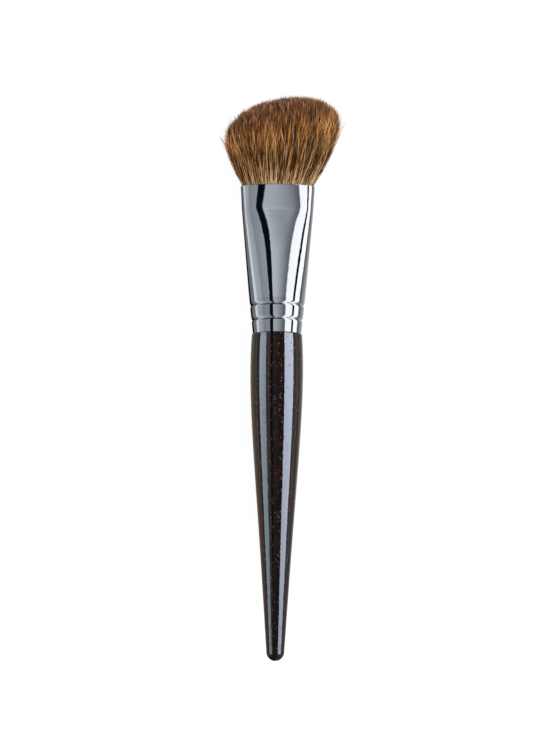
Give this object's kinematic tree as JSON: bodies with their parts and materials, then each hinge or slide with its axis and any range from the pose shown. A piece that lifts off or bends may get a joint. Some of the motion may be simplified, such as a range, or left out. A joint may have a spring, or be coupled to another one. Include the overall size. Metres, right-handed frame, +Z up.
{
  "type": "contour brush",
  "caption": "Angled contour make-up brush: turned dark wooden handle, pinched and crimped chrome ferrule, and a flared hair tuft with a slanted, domed crown.",
  "frame": {"origin": "middle of the lying brush's outline, on the ground it rests on", "axes": "+Y along the brush from the butt of the handle to the hair, +X across its wide side, +Z up out of its front face"},
  "size_m": [0.0374, 0.1828, 0.0199],
  "materials": {
    "lacquered_wood": "dark stained wood under glossy lacquer",
    "polished_chrome": "polished chrome plate on brass",
    "brown_hair": "natural brown hair, golden at the root and dark at the tips",
    "set_resin": "clear amber set resin"
  },
  "bodies": {
    "root": {"handle": "lacquered_wood", "ferrule": "polished_chrome", "hair_tuft": "brown_hair", "glue_plug": "set_resin"}
  },
  "joints": []
}
